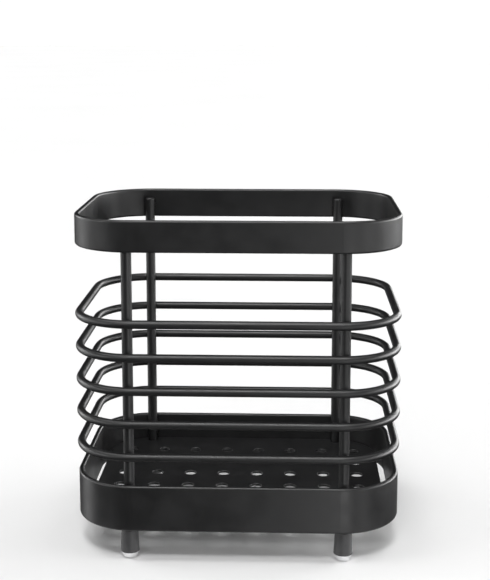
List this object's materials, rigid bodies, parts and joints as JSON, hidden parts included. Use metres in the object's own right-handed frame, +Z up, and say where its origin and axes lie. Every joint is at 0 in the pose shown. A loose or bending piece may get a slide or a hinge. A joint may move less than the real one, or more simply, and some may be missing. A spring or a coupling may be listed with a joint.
{
  "type": "dish drying rack",
  "caption": "Free-standing wire rack with rounded rectangular strip rims, wire rings and a perforated base on small feet, for cutlery to stand in and drain.",
  "frame": {"origin": "middle of the four feet, on the surface that the rack stands on", "axes": "+X along the width, to the right seen from the front; +Y from the front to the back; +Z up, out of the open mouth"},
  "size_m": [0.1408, 0.1008, 0.1468],
  "materials": {
    "powder_coated_steel": "satin black powder coat on steel",
    "foot_sleeve": "black moulded plastic",
    "foot_glide": "polished chromed steel"
  },
  "bodies": {
    "root": {"top_band": "powder_coated_steel", "bottom_band": "powder_coated_steel", "base_plate": "powder_coated_steel", "wire_ring_1": "powder_coated_steel", "wire_ring_2": "powder_coated_steel", "wire_ring_3": "powder_coated_steel", "wire_ring_4": "powder_coated_steel", "wire_ring_5": "powder_coated_steel", "post_front_left": "powder_coated_steel", "post_front_right": "powder_coated_steel", "post_back_left": "powder_coated_steel", "post_back_right": "powder_coated_steel", "top_weld_seams": "powder_coated_steel", "bottom_weld_seams": "powder_coated_steel", "foot_sleeve_front_left": "foot_sleeve", "foot_sleeve_front_right": "foot_sleeve", "foot_sleeve_back_left": "foot_sleeve", "foot_sleeve_back_right": "foot_sleeve", "foot_glide_front_left": "foot_glide", "foot_glide_front_right": "foot_glide", "foot_glide_back_left": "foot_glide", "foot_glide_back_right": "foot_glide"}
  },
  "joints": []
}
